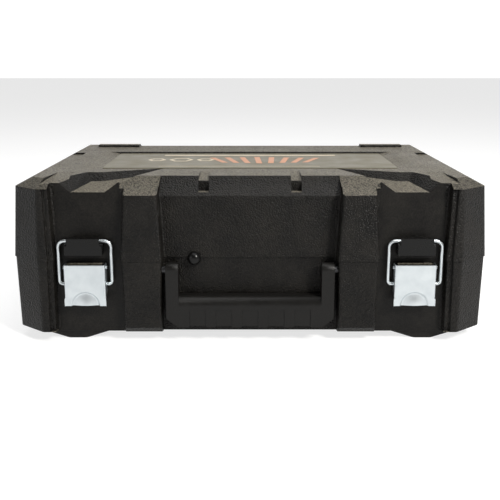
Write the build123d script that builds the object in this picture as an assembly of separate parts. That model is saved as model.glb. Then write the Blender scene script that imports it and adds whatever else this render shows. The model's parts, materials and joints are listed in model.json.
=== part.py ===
from build123d import *
from math import hypot, radians, tan
import os

# Socket wrench set in a moulded carrying case.
#
# A hinged two-part case lies flat on four feet. Two draw latches and a swinging carry handle are let into
# its front, and moulded trays inside hold a half-inch and a quarter-inch drive socket set and seven
# combination wrenches. X runs to the right, Y to the rear and Z up, in millimetres. The origin is on the
# ground at the middle of the object's bounding box.

# ---- Case ---------------------------------------------------------------------------------------------
WIDTH = 400.0               # lid at the seam
DEPTH = 284.0               # lid at the seam, front plane to rear plane
BASE_HEIGHT = 72.0          # ground to seam, feet included
LID_HEIGHT = 67.0           # seam to the lid's top plane
PAD_RISE = 2.3              # rear stacking pads above the top plane
WALL = 3.0                  # moulded wall
LAP = 0.8                   # the lid stands this far out past the base at the seam
LID_DRAFT = 3.5             # degrees
BASE_DRAFT = 1.0            # degrees
CORNER_X = 25.0             # corner chamfer, along the front
CORNER_Y = 19.0             # corner chamfer, along the side
POST = 7.5                  # flat of the corner post, beside the chamfer
POST_STEP = 2.6             # shallow step beside the post
POST_STEP_WIDTH = 3.9
POST_SIDE = 2.0             # the step's edge to the latch recess
LATCH_BAY = 54.4            # width of a latch recess
LATCH_BAY_DEPTH = 9.5
PILLAR = 34.7               # width of the pillar between a latch recess and the handle bay
HANDLE_BAY_DEPTH = 13.7
FOOT_HEIGHT = 7.0           # feet below the base's floor
BASE_SHOULDER = 3.0         # floor to where the base's sides begin
BASE_TURN = 11.8            # run of the slope from the sides in to the floor
PILLAR_TURN = 8.0           # run of the same slope on the pillars
FLOOR_WALL = 5.0
EDGE_RADIUS = 2.5           # upright outer edges
CORNER_RADIUS = 5.0
INNER_RADIUS = 1.5          # upright inner corners
RIM_GAP = 0.4               # tongue on the base's rim to the lid's wall
RIM_WALL = 1.8
RIM_RISE = 3.0              # tongue above the seam
RIM_ROOT = 8.0              # tongue below the seam

# Lid top, as heights above the seam and distances back from the front plane
SHOULDER = 60.0             # where the sides turn in to the sloping rim
PILLAR_TOP = 55.0
BAY_TOP = 52.1
RIM_BACK = 31.0             # front rim of the top plane
RIM_SLOPE_RUN = 13.3        # run of the sloping rim on the sides
REAR_RIM = 32.0             # rear rim of the top plane, in from the rear plane
REAR_CORNER = 57.0          # full-height corners at the rear
REAR_STEP = 3.0             # drop of the rear edge between them
PAD_X = (123.5, 169.0)      # rear stacking pads
PAD_BACK = (229.0, 240.0)
SCOOP_FLOOR = 56.0          # front edge of the scoop above each latch
SCOOP_BACK = 60.0
SCOOP_REACH = 50.0          # how far back the scoops cut the top plane
SCOOP_NEAR = 28.6           # where a scoop's inner edge meets the pillar's slope
SCOOP_TIP = 72.6            # where it ends on the top plane
SCOOP_BESIDE = 4.3          # its end, outside the handle bay
LEDGE = 63.5                # shelf beside the scoop
SHELF_FRONT = 10.0
NOTCH_WIDTH = 8.8           # pair of notches in the front rim
NOTCH_OFFSET = 39.0
NOTCH_FLOOR = 54.8
NOTCH_BACK = 27.0
NOTCH_GROOVE = 3.7          # depth of the groove that runs back from each
NOTCH_REACH = 56.0
SIDE_CUT = (120.0, 180.0)   # lowered strip of each side rim
SIDE_CUT_WIDTH = 11.0
SIDE_CUT_DEPTH = 1.8

# Label
LABEL_LENGTH = 272.0
LABEL_BACK = (84.0, 186.0)  # back from the front plane
LABEL_RECESS = 2.4
LABEL_SLOPE = 13.0          # run of the recess's sloping front and ends
LABEL_REAR_SLOPE = 1.5
LABEL_THICKNESS = 1.0
LABEL_GAP = 0.6

# Draw latches, as heights from the seam
LEVER_WIDTH = 34.6
LEVER_TOP = -3.2
LEVER_LENGTH = 35.0
SHEET = 1.2                 # latch sheet metal
LEVER_PIVOT = -6.2
BAIL_PIVOT_DROP = 14.3      # bail pivot below the lever pivot
BAIL_WIRE = 2.8
BAIL_WIDTH = 46.7           # outside
BAIL_BAR = 16.4
BAR_FROM_WALL = 3.6
PIVOT_FROM_WALL = 4.0
LATCH_PIN = 3.0
LUG_WIDTH = 29.0
LATCH_OFFSET = 2.8          # latch outwards from the middle of its recess
KEEPER_WIDTH = 31.0
KEEPER_LIP_WIDTH = 27.0
KEEPER_BOTTOM = 5.3
KEEPER_TOP = 19.5
KEEPER_LIP = 1.7
BAR_SEAT_GAP = 0.2
THUMB_RADIUS = 12.5
THUMB_DEPTH = 2.2

# Handle
HANDLE_GAP = 2.3            # arm to the bay's side
ARM_WIDTH = 10.5
ARM_THICKNESS = 12.0
HANDLE_SET_BACK = 0.9
HANDLE_DROP = 57.2          # seam to the grip's lower edge
HANDLE_PIVOT = -8.4
GRIP_TOP = -31.0
GRIP_ROUND = 8.0
HANDLE_CORNER_X = 9.7
HANDLE_CORNER_Z = 7.3
HANDLE_PIN = 6.0
FINGER_PITCH = 22.0         # finger pads on the grip
FINGER_FACE = 14.0
FINGER_SINK = 0.8

# Hinges
HINGE_OUT = 3.0             # axis behind the rear plane
KNUCKLE = 4.5               # radius
KNUCKLE_LENGTHS = (24.0, 30.0, 24.0)
KNUCKLE_GAP = 0.4
HINGE_PIN = 4.0
HINGE_OFFSET = 115.0

# Nub on the seam, left of the middle
PLUG_X = -47.0
PLUG_RADIUS = 5.8
PLUG_STEM = 1.6

# Trays
TRAY_DROP = 8.0             # sheet of the base tray below the seam
TRAY_SHEET = 2.0
TRAY_GAP = 0.5
LID_TRAY_RISE = 36.0        # sheet of the lid tray above the seam
POCKET_GAP = 0.6
TOOL_LIFT = 0.2

# Running fits
RUN = 0.05                  # radial clearance of a pin that turns
FIT = 0.02                  # radial clearance of a pin that is held

# Drive squares, and tools by size: the outside of a socket's drive end, the length of a wrench
HALF_INCH = 12.7
QUARTER_INCH = 6.35
HALF_SOCKETS = {10: 22.0, 12: 22.0, 13: 22.0, 14: 22.0, 17: 24.0, 19: 26.0, 21: 28.0, 22: 30.0, 24: 32.0,
                27: 36.0}
QUARTER_SOCKETS = {5: 12.0, 6: 12.0, 7: 12.0, 8: 12.0, 9: 13.0, 10: 14.5, 11: 15.8, 12: 17.0, 13: 18.0}
HALF_SOCKET_LENGTH = 38.0
QUARTER_SOCKET_LENGTH = 25.0
SPARK_PLUG_SOCKETS = {16: 22.0, 21: 27.0}
SPARK_PLUG_LENGTH = 65.0
WRENCHES = {8: 115.0, 10: 133.0, 12: 150.0, 13: 160.0, 14: 170.0, 17: 195.0, 19: 215.0}
T_BAR_LENGTH = 230.0
T_BAR_RADIUS = 6.0
T_BAR_STOP = 7.5            # radius of the stops at its ends
T_STOP_LENGTH = 5.0
T_HEAD_RADIUS = 12.5
T_HEAD_HALF = 14.0
T_SQUARE = 15.0             # length of the sliding head's drive square
T_TRAVEL = 70.0
DRIVER_GRIP = 14.0          # radius
DRIVER_LENGTH = 160.0
DRIVER_GRIP_LENGTH = 96.0
DRIVER_SHAFT = 3.6
DRIVER_SEAT = 40.0          # shaft inside the grip
# Length, drive, and radius of the drive end and of the bar
EXTENSIONS = {"half_extension_long": (250.0, HALF_INCH, 11.0, 7.0),
              "half_extension_short": (125.0, HALF_INCH, 11.0, 7.0),
              "quarter_extension": (100.0, QUARTER_INCH, 6.2, 4.0)}
ROW_GAP = 11.5              # between one row of tools and the next
SOCKET_STAND = 9.0          # sockets above the tray's sheet

# ---- Places worked out from the sizes -----------------------------------------------------------------
FRONT = -(DEPTH + HINGE_OUT + KNUCKLE) / 2
REAR = FRONT + DEPTH
SEAM = BASE_HEIGHT
TOP = SEAM + LID_HEIGHT
SIDE = WIDTH / 2
POST_OUT = SIDE - CORNER_X
LATCH_OUT = POST_OUT - POST - POST_STEP_WIDTH - POST_SIDE
LATCH_IN = LATCH_OUT - LATCH_BAY
BAY_SIDE = LATCH_IN - PILLAR
LATCH_X = (LATCH_IN + LATCH_OUT) / 2 + LATCH_OFFSET
LID_LEAN = tan(radians(LID_DRAFT))
BASE_LEAN = tan(radians(BASE_DRAFT))
HINGE_Y = REAR + HINGE_OUT
LEVER_PIVOT_Y = FRONT + LATCH_BAY_DEPTH - PIVOT_FROM_WALL
LEVER_PIVOT_Z = SEAM + LEVER_PIVOT
BAIL_Y = FRONT + LATCH_BAY_DEPTH - BAR_FROM_WALL
BAIL_PIVOT_Z = LEVER_PIVOT_Z - BAIL_PIVOT_DROP
HANDLE_PIVOT_Y = FRONT + HANDLE_SET_BACK + ARM_THICKNESS / 2
HANDLE_PIVOT_Z = SEAM + HANDLE_PIVOT
HANDLE_SIDE = BAY_SIDE - HANDLE_GAP
FLOOR = FOOT_HEIGHT + FLOOR_WALL
LID_CEILING = SEAM + SHOULDER - 8.0
TRAY_TOP = SEAM - TRAY_DROP
TRAY_INSET = WALL + RIM_GAP + RIM_WALL + TRAY_GAP
LEVER_FRONT = FRONT + 0.3
TOOL_GAP = 2 * (TRAY_SHEET + POCKET_GAP) + 1.0
TRAY_FRONT = FRONT + HANDLE_BAY_DEPTH + TRAY_INSET + TRAY_SHEET
TRAY_SIDE = SIDE - TRAY_INSET - TRAY_SHEET
SOCKET_TOP = TRAY_TOP + SOCKET_STAND


# ---- Helpers ------------------------------------------------------------------------------------------
def mirrored(points):
    """Closes a right-hand outline with its mirror image about X = 0."""
    return list(points) + [(-x, y) for x, y in reversed(points)]


def inset(points, amount):
    """Moves every side of a closed anticlockwise outline inwards."""
    moved = []
    for i, (x1, y1) in enumerate(points):
        x0, y0 = points[i - 1]
        x2, y2 = points[(i + 1) % len(points)]
        before, after = hypot(x1 - x0, y1 - y0), hypot(x2 - x1, y2 - y1)
        nx0, ny0 = (y0 - y1) / before, (x1 - x0) / before
        nx1, ny1 = (y1 - y2) / after, (x2 - x1) / after
        share = amount / (1 + nx0 * nx1 + ny0 * ny1)
        moved.append((x1 + share * (nx0 + nx1), y1 + share * (ny0 + ny1)))
    return moved


def case_outline(amount, stepped=True):
    """The case seen from above, with its recesses, moved inwards by amount."""
    half = [(BAY_SIDE, HANDLE_BAY_DEPTH), (BAY_SIDE, 0), (LATCH_IN, 0), (LATCH_IN, LATCH_BAY_DEPTH)]
    radii = [INNER_RADIUS, EDGE_RADIUS, EDGE_RADIUS, INNER_RADIUS]
    step = POST_OUT - POST
    if stepped:
        half += [(LATCH_OUT, LATCH_BAY_DEPTH), (LATCH_OUT + 1.2, POST_STEP), (step - 0.8, POST_STEP), (step, 0)]
        radii += [INNER_RADIUS, 0.6, 0.4, EDGE_RADIUS / 2]
    else:
        half += [(LATCH_OUT, LATCH_BAY_DEPTH), (LATCH_OUT + 1.2, 0)]
        radii += [INNER_RADIUS, EDGE_RADIUS / 2]
    half += [(POST_OUT, 0), (SIDE, CORNER_Y), (SIDE, DEPTH - CORNER_Y), (POST_OUT, DEPTH)]
    radii += [CORNER_RADIUS] * 4
    placed = [(x, y + FRONT) for x, y in half]
    return make_face(FilletPolyline(*inset(mirrored(placed), amount), radius=radii + radii[::-1], close=True))


def plain_outline(amount):
    """The case seen from above without its recesses, moved inwards by amount."""
    half = [(POST_OUT, FRONT), (SIDE, FRONT + CORNER_Y), (SIDE, REAR - CORNER_Y), (POST_OUT, REAR)]
    return make_face(FilletPolyline(*inset(mirrored(half), amount), radius=CORNER_RADIUS, close=True))


def between(lower, low_z, upper, high_z):
    """A solid with straight sides from one outline to another."""
    return loft([Pos(0, 0, low_z) * lower, Pos(0, 0, high_z) * upper], ruled=True)


def block(x, y, z):
    """A box from its lowest and highest values along each axis."""
    size = [high - low for low, high in (x, y, z)]
    return Pos(x[0], y[0], z[0]) * Box(*size, align=(Align.MIN,) * 3)


def rod(radius, start, end):
    """A round bar from one point to another."""
    axis = Vector(*end) - Vector(*start)
    return extrude(Plane(origin=start, z_dir=axis) * Circle(radius), axis.length)


def profile(points, x0, x1):
    """A closed outline in the YZ plane, run from x0 to x1."""
    face = make_face(Plane.YZ * Polyline(*points, close=True))
    return Pos(x0, 0, 0) * extrude(face, x1 - x0, dir=(1, 0, 0))


def keep_above(solid, *faces):
    """Cuts a solid by planes through three points each and keeps what is above them all."""
    for points in faces:
        a, b, c = (Vector(*point) for point in points)
        normal = (b - a).cross(c - a)
        normal = normal if normal.Z > 0 else -normal
        solid = split(solid, bisect_by=Plane(origin=a, z_dir=normal), keep=Keep.TOP)
    return solid


# ---- Lid shell ----------------------------------------------------------------------------------------
def lid_place(x, back, rise):
    """A point on the lid from its distance back from the front plane and its rise above the seam."""
    return x, FRONT + back, SEAM + rise


def front_slope(low_back, low_rise, x0, x1):
    """Everything above the slope from a front edge up to the front rim of the top plane."""
    edge, rim = lid_place(0, low_back, low_rise), lid_place(0, RIM_BACK, LID_HEIGHT)
    run, rise = rim[1] - edge[1], rim[2] - edge[2]
    points = [(edge[1] - run, edge[2] - rise), (rim[1] + run, rim[2] + rise), (edge[1] - run, rim[2] + rise)]
    return profile(points, x0, x1)


def scoop():
    """The hollow above the right-hand latch that runs from its recess up into the top plane."""
    wall = LATCH_BAY_DEPTH + SCOOP_FLOOR * LID_LEAN
    near_in, near_out = LATCH_IN + 13.0, LATCH_OUT - 13.5
    far_in, far_out = LATCH_IN + 20.0, LATCH_OUT - 24.5
    floor = [lid_place(near_in, wall, SCOOP_FLOOR), lid_place(near_out, wall, SCOOP_FLOOR),
             lid_place(far_in, SCOOP_REACH - 6, SCOOP_BACK)]
    outer = [lid_place(near_out, wall, SCOOP_FLOOR), lid_place(near_out + 9, wall, LEDGE),
             lid_place(far_out, SCOOP_REACH - 6, SCOOP_BACK)]
    inner = [lid_place(near_in, wall, SCOOP_FLOOR), lid_place(LATCH_IN - 9.5, SCOOP_NEAR, LID_HEIGHT),
             lid_place(BAY_SIDE + SCOOP_BESIDE, SCOOP_TIP, LID_HEIGHT)]
    back = [lid_place(near_in, SCOOP_REACH, LID_HEIGHT), lid_place(near_out, SCOOP_REACH, LID_HEIGHT),
            lid_place(far_in, SCOOP_REACH - 6, SCOOP_BACK)]
    spur = [lid_place(far_in + 1, SCOOP_REACH, LID_HEIGHT),
            lid_place(BAY_SIDE + SCOOP_BESIDE, SCOOP_TIP, LID_HEIGHT),
            lid_place(far_in, SCOOP_REACH - 6, SCOOP_BACK)]
    ledge = [lid_place(near_out, SHELF_FRONT, LEDGE), lid_place(POST_OUT, SHELF_FRONT, LEDGE),
             lid_place(near_out, SCOOP_REACH, LID_HEIGHT)]
    bottom, height = SEAM + 50, LID_HEIGHT - 45
    room = block((BAY_SIDE, POST_OUT - 5), (FRONT - 5, FRONT + SCOOP_TIP + 15), (bottom, bottom + height))
    trough = keep_above(room, floor, inner, outer, back)
    reach = keep_above(room, floor, inner, outer, spur)
    corner = POST_OUT - SHOULDER * LID_LEAN / 2
    sides = [(near_out + 4, FRONT - 5), (corner, FRONT - 5), (corner, FRONT + SHOULDER * LID_LEAN),
             (LATCH_OUT + 5, FRONT + SCOOP_REACH + 4), (near_out + 4, FRONT + SCOOP_REACH + 4)]
    shelf = extrude(Pos(0, 0, bottom) * make_face(Polyline(*sides, close=True)), height)
    return [trough, reach, keep_above(shelf, ledge)]


def rim_notches():
    """The notches in the front and rear rims, and the lowered strips of the side rims."""
    cuts = []
    half = NOTCH_WIDTH / 2
    front = [lid_place(0, 0, NOTCH_FLOOR), lid_place(0, NOTCH_BACK, NOTCH_FLOOR),
             lid_place(0, NOTCH_BACK, LID_HEIGHT - NOTCH_GROOVE), lid_place(0, NOTCH_REACH, LID_HEIGHT),
             lid_place(0, NOTCH_REACH, LID_HEIGHT + 1), lid_place(0, 0, LID_HEIGHT + 1)]
    for x in (-NOTCH_OFFSET, NOTCH_OFFSET):
        cuts.append(profile([(y, z) for _, y, z in front], x - half, x + half))
        cuts.append(block((x - half, x + half), (REAR - REAR_RIM, REAR), (TOP - 2 * REAR_STEP, TOP + 1)))
    edge = SIDE - RIM_SLOPE_RUN - SHOULDER * LID_LEAN
    for side in (-1, 1):
        x = sorted((side * (edge - SIDE_CUT_WIDTH), side * SIDE))
        cuts.append(block(x, (FRONT + SIDE_CUT[0], FRONT + SIDE_CUT[1]), (TOP - SIDE_CUT_DEPTH, TOP + 1)))
    return cuts


def label_outline(ends, rear, radius):
    """The label seen from above, larger by ends at its front and ends and by rear at its rear."""
    low, high = FRONT + LABEL_BACK[0] - ends, FRONT + LABEL_BACK[1] + rear
    return Pos(0, (low + high) / 2) * RectangleRounded(LABEL_LENGTH + 2 * ends, high - low, radius)


def label_recess():
    """The recess around the label, with a sloping front and ends."""
    floor = Pos(0, 0, TOP - LABEL_RECESS) * label_outline(LABEL_GAP, LABEL_GAP, 3.0)
    rim = Pos(0, 0, TOP) * label_outline(LABEL_GAP + LABEL_SLOPE, LABEL_GAP + LABEL_REAR_SLOPE, 3.0)
    return loft([floor, rim], ruled=True) + extrude(rim, 1)


def stacking_pads():
    y = (FRONT + PAD_BACK[0], FRONT + PAD_BACK[1])
    return [block(sorted((side * PAD_X[0], side * PAD_X[1])), y, (TOP - WALL, TOP + PAD_RISE))
            for side in (-1, 1)]


def knuckles(x, which, clearance=0.0):
    """One hinge's knuckles around its axis: 0 and 2 belong to the base, 1 to the lid."""
    start = x - (sum(KNUCKLE_LENGTHS) + 2 * KNUCKLE_GAP) / 2
    made = []
    for i, length in enumerate(KNUCKLE_LENGTHS):
        side = 1 if i == 1 else -1
        if i % 2 == which:
            low, high = start - clearance, start + length + clearance
            web = [(REAR - WALL / 2, SEAM), (REAR - WALL / 2, SEAM + side * 12), (HINGE_Y + KNUCKLE, SEAM)]
            barrel = rod(KNUCKLE + clearance, (low, HINGE_Y, SEAM), (high, HINGE_Y, SEAM))
            made.append(barrel if clearance else barrel + profile(web, low, high))
        start += length + KNUCKLE_GAP
    return made


def hinge_axis(x, radius):
    length = sum(KNUCKLE_LENGTHS) + 2 * KNUCKLE_GAP
    return rod(radius, (x - length / 2, HINGE_Y, SEAM), (x + length / 2, HINGE_Y, SEAM))


def lid_outer():
    """The lid's outside, before its recess tops, label recess and hollow."""
    shoulder = SHOULDER * LID_LEAN
    sides = between(case_outline(0), SEAM, case_outline(shoulder), SEAM + SHOULDER)
    rim = between(plain_outline(shoulder), SEAM + SHOULDER, plain_outline(shoulder + RIM_SLOPE_RUN), TOP)
    solid = rim + sides
    bay_back = HANDLE_BAY_DEPTH + BAY_TOP * LID_LEAN
    pillar_back = PILLAR_TOP * LID_LEAN
    solid -= front_slope(bay_back, BAY_TOP, -BAY_SIDE - BAY_TOP * LID_LEAN, BAY_SIDE + BAY_TOP * LID_LEAN)
    solid -= block((-BAY_SIDE - 3, BAY_SIDE + 3), (FRONT - 1, FRONT + bay_back), (SEAM + BAY_TOP, TOP + 1))
    recess_back = LATCH_BAY_DEPTH + SHOULDER * LID_LEAN
    for side in (-1, 1):
        x = sorted((side * (BAY_SIDE + 1), side * (LATCH_IN + 1)))
        solid -= front_slope(pillar_back, PILLAR_TOP, *x)
        x = sorted((side * (LATCH_IN - shoulder), side * (LATCH_OUT + shoulder)))
        solid -= block(x, (FRONT - 1, FRONT + recess_back), (SEAM + SHOULDER, TOP + 1))
    for cut in scoop():
        solid -= cut
        solid -= mirror(cut, Plane.YZ)
    back = [(REAR - REAR_RIM, TOP), (REAR + 4, SEAM + SHOULDER - 1), (REAR + 4, TOP + 1)]
    solid -= profile(back, -SIDE, SIDE)
    corner = SIDE - RIM_SLOPE_RUN - shoulder - REAR_CORNER
    low = [(REAR - REAR_RIM - 10, TOP), (REAR - REAR_RIM - 6, TOP - REAR_STEP), (REAR + 1, TOP - 2 * REAR_STEP),
           (REAR + 1, TOP + 1)]
    solid -= profile(low, -corner, corner)
    return solid


def lid_hollow():
    rise = LID_CEILING - SEAM
    lower = between(case_outline(WALL, False), SEAM, case_outline(WALL + rise * LID_LEAN, False), LID_CEILING)
    top = TOP - LABEL_RECESS - WALL
    upper = block((-SIDE + 38, SIDE - 38), (FRONT + 76, REAR - 48), (LID_CEILING - 1, top))
    return lower + upper


def make_lid_shell(outer):
    solid = outer - lid_hollow()
    solid -= label_recess()
    for cut in rim_notches():
        solid -= cut
    solid += stacking_pads()
    for side in (-1, 1):
        x = side * HINGE_OFFSET
        for room in knuckles(x, 0, KNUCKLE_GAP):
            solid -= room
        for knuckle in knuckles(x, 1):
            solid += knuckle
        solid -= hinge_axis(x, HINGE_PIN / 2 + RUN)
    return solid


# ---- Base shell ---------------------------------------------------------------------------------------
def foot(side, front):
    """One foot under a latch recess, or its mirror image at the rear."""
    root = [(LATCH_IN + 7, SIDE - 18), (13, 64)]
    sole = [(LATCH_IN + 30, SIDE - 40), (15, 56)]
    faces = []
    for (xs, backs), z in ((root, FOOT_HEIGHT + 1), (sole, 0)):
        middle = (backs[0] + backs[1]) / 2
        at = Pos(side * (xs[0] + xs[1]) / 2, FRONT + middle if front else REAR - middle, z)
        faces.append(at * RectangleRounded(xs[1] - xs[0], backs[1] - backs[0], 6))
    return loft(faces, ruled=True)


def latch_lug(x):
    """The block on the base that holds a latch's pivot pin."""
    radius = LEVER_PIVOT_Y - FRONT - SHEET - 0.7
    lug = rod(radius, (x - LUG_WIDTH / 2, LEVER_PIVOT_Y, LEVER_PIVOT_Z),
              (x + LUG_WIDTH / 2, LEVER_PIVOT_Y, LEVER_PIVOT_Z))
    root = block((x - LUG_WIDTH / 2, x + LUG_WIDTH / 2),
                 (LEVER_PIVOT_Y, FRONT + LATCH_BAY_DEPTH + LAP + WALL / 2),
                 (LEVER_PIVOT_Z - 2.6, LEVER_PIVOT_Z + 2.6))
    return lug + root


def latch_pin(x, radius):
    reach = LEVER_WIDTH / 2 + 0.9
    return rod(radius, (x - reach, LEVER_PIVOT_Y, LEVER_PIVOT_Z), (x + reach, LEVER_PIVOT_Y, LEVER_PIVOT_Z))


def handle_pin(side, radius, reach=0.0):
    start = HANDLE_SIDE - ARM_WIDTH + 2 - reach
    return rod(radius, (side * start, HANDLE_PIVOT_Y, HANDLE_PIVOT_Z),
               (side * (BAY_SIDE + WALL + 6 + reach), HANDLE_PIVOT_Y, HANDLE_PIVOT_Z))


def make_base_shell():
    shoulder = FOOT_HEIGHT + BASE_SHOULDER
    low = LAP + (SEAM - shoulder) * BASE_LEAN
    solid = between(case_outline(low), shoulder, case_outline(LAP), SEAM)
    solid += between(plain_outline(low + BASE_TURN), FOOT_HEIGHT, plain_outline(low), shoulder)
    bay = BAY_SIDE + low
    solid -= block((-bay, bay), (FRONT - 1, FRONT + HANDLE_BAY_DEPTH + low), (0, shoulder))
    for side in (-1, 1):
        x = sorted((side * (LATCH_IN - low), side * (LATCH_OUT + low)))
        solid -= block(x, (FRONT - 1, FRONT + LATCH_BAY_DEPTH + low), (0, shoulder))
        x = sorted((side * (BAY_SIDE + LAP), side * (LATCH_IN - LAP)))
        turn = [(FRONT, shoulder + 6), (FRONT + PILLAR_TURN, FOOT_HEIGHT), (FRONT, FOOT_HEIGHT)]
        solid -= profile(turn, *x)
    for side in (-1, 1):
        for front in (True, False):
            solid += foot(side, front)
    depth = WALL + LAP
    solid -= between(case_outline(depth + (SEAM - FLOOR) * BASE_LEAN, False), FLOOR,
                     case_outline(depth, False), SEAM)
    tongue = WALL + RIM_GAP
    outside, inside = case_outline(tongue, False), case_outline(tongue + RIM_WALL, False)
    ring = between(outside, SEAM - RIM_ROOT, outside, SEAM + RIM_RISE)
    ring -= between(inside, SEAM - RIM_ROOT - 1, inside, SEAM + RIM_RISE + 1)
    solid += ring
    solid -= plug_stem(PLUG_STEM + FIT)
    for side in (-1, 1):
        solid += latch_lug(side * LATCH_X)
        solid -= latch_pin(side * LATCH_X, LATCH_PIN / 2 + FIT)
        boss = rod(HANDLE_PIN / 2 + WALL, (side * (BAY_SIDE + WALL), HANDLE_PIVOT_Y, HANDLE_PIVOT_Z),
                   (side * (BAY_SIDE + WALL + 8), HANDLE_PIVOT_Y, HANDLE_PIVOT_Z))
        solid += boss
        solid -= handle_pin(side, HANDLE_PIN / 2 + FIT)
        x = side * HINGE_OFFSET
        for room in knuckles(x, 1, KNUCKLE_GAP):
            solid -= room
        for knuckle in knuckles(x, 0):
            solid += knuckle
        solid -= hinge_axis(x, HINGE_PIN / 2 + FIT)
    return solid


def plug_stem(radius):
    back, z = FRONT + HANDLE_BAY_DEPTH, SEAM - 2.6
    return rod(radius, (PLUG_X, back - 1, z), (PLUG_X, back + LAP + WALL / 2, z))


def make_seam_plug():
    """A round-headed nub on the seam in the handle bay, held by a stem in the base's wall."""
    back, z = FRONT + HANDLE_BAY_DEPTH - 0.2, SEAM - 0.6
    dome = rod(PLUG_RADIUS, (PLUG_X, back, z), (PLUG_X, back - PLUG_RADIUS + 0.4, z))
    dome = fillet(dome.faces().sort_by(Axis.Y)[0].edges(), PLUG_RADIUS - 0.8)
    return dome + plug_stem(PLUG_STEM)


# ---- Draw latches -------------------------------------------------------------------------------------
def make_lever(x):
    """The latch's sheet-metal lever: a plate with two side cheeks and a pressed thumb dish."""
    half = LEVER_WIDTH / 2
    top, bottom = SEAM + LEVER_TOP, SEAM + LEVER_TOP - LEVER_LENGTH
    inner = LEVER_FRONT + SHEET
    plate = block((x - half, x + half), (LEVER_FRONT, inner), (bottom, top))
    cheek_back = LEVER_PIVOT_Y + 2.9
    cheek = [(LEVER_FRONT, top), (cheek_back, top), (cheek_back, BAIL_PIVOT_Z - 3), (inner, bottom + 5),
             (LEVER_FRONT, bottom + 5)]
    for side in (-1, 1):
        ends = sorted((x + side * half, x + side * (half - SHEET)))
        plate += profile(cheek, *ends)
    ball = (THUMB_RADIUS ** 2 + THUMB_DEPTH ** 2) / (2 * THUMB_DEPTH)
    middle = (x, LEVER_FRONT + THUMB_DEPTH - ball, bottom)
    dish = Pos(*middle) * Sphere(ball + SHEET * 0.9)
    plate += dish & block((x - half + 2, x + half - 2), (inner, inner + 4), (bottom, top))
    plate -= Pos(*middle) * Sphere(ball)
    plate -= latch_pin(x, LATCH_PIN / 2 + RUN)
    plate -= rod(BAIL_WIRE / 2 + RUN, (x - half - 1, BAIL_Y, BAIL_PIVOT_Z), (x + half + 1, BAIL_Y, BAIL_PIVOT_Z))
    return plate


def make_bail(x):
    """The latch's wire loop, from its turned-in ends in the lever up to the bar over the keeper."""
    half = (BAIL_WIDTH - BAIL_WIRE) / 2
    end, bar = LEVER_WIDTH / 2 - SHEET - 2.0, SEAM + BAIL_BAR
    points = [(x - end, BAIL_Y, BAIL_PIVOT_Z), (x - half, BAIL_Y, BAIL_PIVOT_Z), (x - half, BAIL_Y, bar),
              (x + half, BAIL_Y, bar), (x + half, BAIL_Y, BAIL_PIVOT_Z), (x + end, BAIL_Y, BAIL_PIVOT_Z)]
    path = FilletPolyline(*points, radius=[3.0, 5.5, 5.5, 3.0])
    return sweep(Plane(origin=points[0], z_dir=(-1, 0, 0)) * Circle(BAIL_WIRE / 2), path=path)


def make_keeper(x, lid):
    """The block on the lid that the bail hooks over."""
    back = FRONT + LATCH_BAY_DEPTH + 3
    seat = SEAM + BAIL_BAR - BAIL_WIRE / 2 - BAR_SEAT_GAP
    low, high = SEAM + KEEPER_BOTTOM, SEAM + KEEPER_TOP
    half, lip = KEEPER_WIDTH / 2, KEEPER_LIP_WIDTH / 2
    body = profile([(back, low), (FRONT, low), (FRONT, seat - 1.5), (FRONT + 1.5, seat), (back, seat)],
                   x - half, x + half)
    hook = block((x - lip, x + lip), (FRONT, FRONT + KEEPER_LIP), (low + 2, high))
    return (body + hook) - lid


# ---- Handle -------------------------------------------------------------------------------------------
def make_handle():
    front, back = FRONT + HANDLE_SET_BACK, FRONT + HANDLE_SET_BACK + ARM_THICKNESS
    low = SEAM - HANDLE_DROP
    inner = HANDLE_SIDE - ARM_WIDTH
    round_start = SEAM + GRIP_TOP - GRIP_ROUND
    section = Polyline((front, round_start), (front, low), (back, low), (back, SEAM + GRIP_TOP),
                       (front + GRIP_ROUND, SEAM + GRIP_TOP))
    crown = RadiusArc((front, round_start), (front + GRIP_ROUND, SEAM + GRIP_TOP), GRIP_ROUND)
    grip = extrude(make_face(Plane.YZ * (section + crown)), HANDLE_SIDE, both=True)
    for side in (-1, 1):
        x = sorted((side * inner, side * HANDLE_SIDE))
        grip += block(x, (front, back), (low, HANDLE_PIVOT_Z))
        grip += rod(ARM_THICKNESS / 2, (x[0], HANDLE_PIVOT_Y, HANDLE_PIVOT_Z),
                    (x[1], HANDLE_PIVOT_Y, HANDLE_PIVOT_Z))
        corner = [(side * HANDLE_SIDE, low + HANDLE_CORNER_Z), (side * (HANDLE_SIDE - HANDLE_CORNER_X), low),
                  (side * (HANDLE_SIDE + 1), low - 1)]
        grip -= extrude(make_face(Plane.XZ * Polyline(*corner, close=True)), -2 * FRONT, both=True)
        grip -= handle_pin(side, HANDLE_PIN / 2 + RUN, 0.3)
    for i in range(-2, 3):
        x = (i * FINGER_PITCH - FINGER_FACE / 2, i * FINGER_PITCH + FINGER_FACE / 2)
        grip -= block(x, (front - 1, front + FINGER_SINK), (low - 1, round_start - 3))
        grip -= block(x, (front - 1, back + 1), (low - 1, low + FINGER_SINK))
    return grip


# ---- Hand tools ---------------------------------------------------------------------------------------
def turned(points):
    """A solid turned about Z from a half section of (radius, height) points."""
    return revolve(make_face(Plane.XZ * Polyline(*points, close=True)), Axis.Z)


def lying(x, y, z):
    """Lays a piece that was made upright down along X."""
    return Pos(x, y, z) * Rot(0, 90, 0)


def square_bar(size, low, high):
    return Pos(0, 0, low) * extrude(Rectangle(size, size), high - low)


def socket_width(across, drive_end):
    """The widest part of a socket: its drive end or its mouth."""
    return max(drive_end, across * 1.32 + 2.0)


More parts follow.
